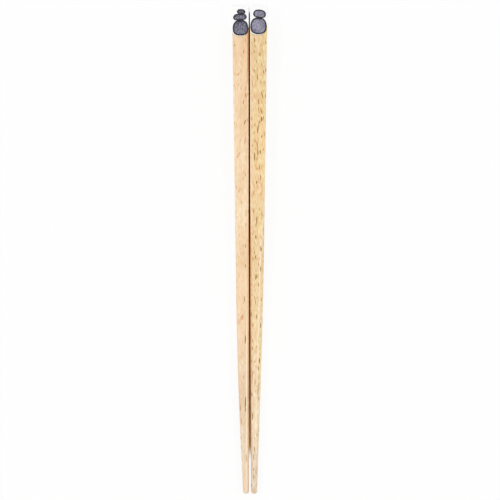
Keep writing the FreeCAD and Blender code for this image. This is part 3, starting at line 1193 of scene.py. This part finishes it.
# %% [markdown]
# Light that bounces between two brown faces half a millimetre apart is all but gone after a few
# bounces. In the photograph the slit is still a warm brown midway down, so there the floor gives a
# very faint brown glow of its own. It reaches nothing but the slit.

# %% The floor's finish
SHADOW_SHARE = 0.12
PAPER_WHITE = (0.95, 0.95, 0.95, 1)
DEEP_SHADE = (0.14, 0.03, 0.003, 1)
LIFTED_SHADE = (1.0, 0.68, 0.36, 1)
LIFTS_DOWN = 120.0
GLOW_DOWN = 140.0
GLOW_REACH = (42.0, 14.0)
GLOW = 0.05
GLOW_COLOUR = (1, 0.15, 0.02, 1)

lifted = ramp(tree, along, LENGTH / 2 - LIFTS_DOWN, slit_end)
shade = blended(tree, lifted, DEEP_SHADE, LIFTED_SHADE)
shade = blended(tree, ramp(tree, outside, 0.5, 1.0), shade, PAPER_WHITE)
matt = add(tree, "BsdfDiffuse", {"Color": shade})
from_glow = reckoned(tree, "SUBTRACT", along, LENGTH / 2 - GLOW_DOWN)
from_glow = reckoned(tree, "ABSOLUTE", from_glow)
glow = ramp(tree, from_glow, *GLOW_REACH, 0.0, GLOW)
glow = ramp(tree, outside, 0.0, 1.0, glow, 0.0)
glow = add(tree, "Emission", {"Color": GLOW_COLOUR, "Strength": glow})
matt = add(tree, "AddShader", [matt, glow])
plain = add(tree, "Emission", {"Color": (1, 1, 1, 1), "Strength": 1.0})
path = tree.nodes.new("ShaderNodeLightPath").outputs
seen = reckoned(tree, "MAXIMUM", path["Is Camera Ray"], path["Is Glossy Ray"])
amount = reckoned(tree, "MULTIPLY", seen, outside)
amount = reckoned(tree, "MULTIPLY", amount, 1 - SHADOW_SHARE)
surface = add(tree, "MixShader", [amount, matt, plain])
feed(tree, tree.nodes.new("ShaderNodeOutputMaterial").inputs["Surface"], surface)
dress(floor, paper)
print("the floor glows", GLOW_DOWN - GLOW_REACH[0], "to", GLOW_DOWN + GLOW_REACH[0], "mm down")

# %% [markdown]
# The light is soft and even, with a little more from the left. The world gives most of it, and shows
# itself to the camera as plain white. Two lamps stand at the sides, the one on the left a little
# stronger, and each draws a thin glint along the edges that face it. Together they light an upward
# face at a plain level, at which a colour renders about as it is written.

# %% World and lamps
FILL = 0.71
# place, size in metres, power in watts
LAMPS = {
    "left lamp": ((-1.0, 0.2, 1.2), 0.4, 5.0),
    "right lamp": ((1.0, -0.1, 1.2), 0.4, 4.2),
}

world = bpy.data.worlds.new("studio")
bpy.context.scene.world = world
world.use_nodes = True
tree = world.node_tree
tree.nodes.clear()
fill = add(tree, "Background", {"Color": (1, 1, 1, 1), "Strength": FILL})
backdrop = add(tree, "Background", {"Color": (1, 1, 1, 1), "Strength": 1.0})
path = tree.nodes.new("ShaderNodeLightPath")
shown = add(tree, "MixShader", [path.outputs["Is Camera Ray"], fill, backdrop])
feed(tree, tree.nodes.new("ShaderNodeOutputWorld").inputs["Surface"], shown)

for name, (place, width, power) in LAMPS.items():
    light = bpy.data.lights.new(name, "AREA")
    light.shape = "DISK"
    light.size = width
    light.energy = power
    lamp = in_scene(name, light)
    lamp.location = place
    lamp.rotation_euler = lamp.location.to_track_quat("Z", "Y").to_euler()
    print(f"{name}: {power} watts, {width} m wide")

# %% [markdown]
# The camera looks straight down through a long lens. In the photograph the pair is 488.4 of the
# 500 pixels long and sits in the middle, and that sets the width of the view. It is measured at the
# height of the outline, half way up the sticks, where they are widest.

# %% The camera
PHOTO_PIXELS = 500
PAIR_PIXELS = 488.4
PAIR_CENTRE = (249.72, 249.7)
CAMERA_HEIGHT = 1.5
OUTLINE_HEIGHT = 4.0

pixel = LENGTH * MM / PAIR_PIXELS
camera_data = bpy.data.cameras.new("camera")
camera = in_scene("camera", camera_data)
bpy.context.scene.camera = camera
half = PHOTO_PIXELS / 2
across = (half - PAIR_CENTRE[0]) * pixel
along = (PAIR_CENTRE[1] - half) * pixel
camera.location = (across, along, CAMERA_HEIGHT)
distance = CAMERA_HEIGHT - OUTLINE_HEIGHT * MM
camera_data.lens = camera_data.sensor_width * distance / (PHOTO_PIXELS * pixel)
bpy.context.scene.view_settings.view_transform = "Standard"
print(f"one pixel is {pixel / MM:.4f} mm, the lens is {camera_data.lens:.0f} mm")

# %% [markdown]
# ## Finish
#
# The last cell prints the part's box and the dressed model's box, so the two can be compared.

# %% Sizes and finish
visual_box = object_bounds()
boxes = {"cad": cad_box, "visual": visual_box}
boxes = {name: [list(corner) for corner in box] for name, box in boxes.items()}
print("boxes:", boxes)
